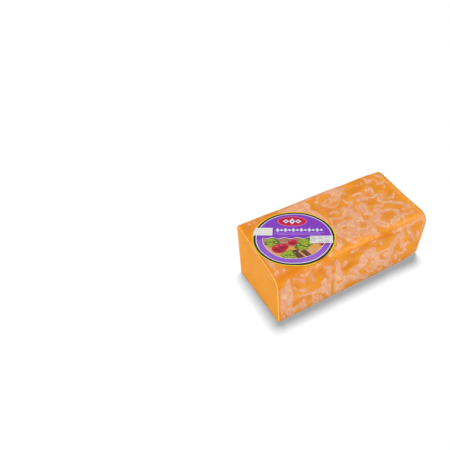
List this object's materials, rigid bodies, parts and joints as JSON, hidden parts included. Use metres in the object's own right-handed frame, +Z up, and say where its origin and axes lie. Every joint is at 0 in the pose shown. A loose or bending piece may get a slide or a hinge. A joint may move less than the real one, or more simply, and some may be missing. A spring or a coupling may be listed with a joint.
{
  "type": "cheddar cheese block",
  "caption": "Cut half of an orange cheddar loaf, tightly wrapped in clear shrink film, with an oval label on its top; one end is a flat smooth cut.",
  "frame": {"origin": "middle of the block's footprint, on the surface it stands on", "axes": "+X along the block from its cut end to its far end, +Y to its back long side, +Z up"},
  "size_m": [0.2166, 0.1006, 0.0834],
  "materials": {
    "film_wrapped_cheese": "orange cheese seen through clear shrink film, pale where the film stands off it",
    "printed_label": "smooth coated paper with a purple printed field"
  },
  "bodies": {
    "root": {"wrapped_cheese": "film_wrapped_cheese", "label": "printed_label"}
  },
  "joints": []
}
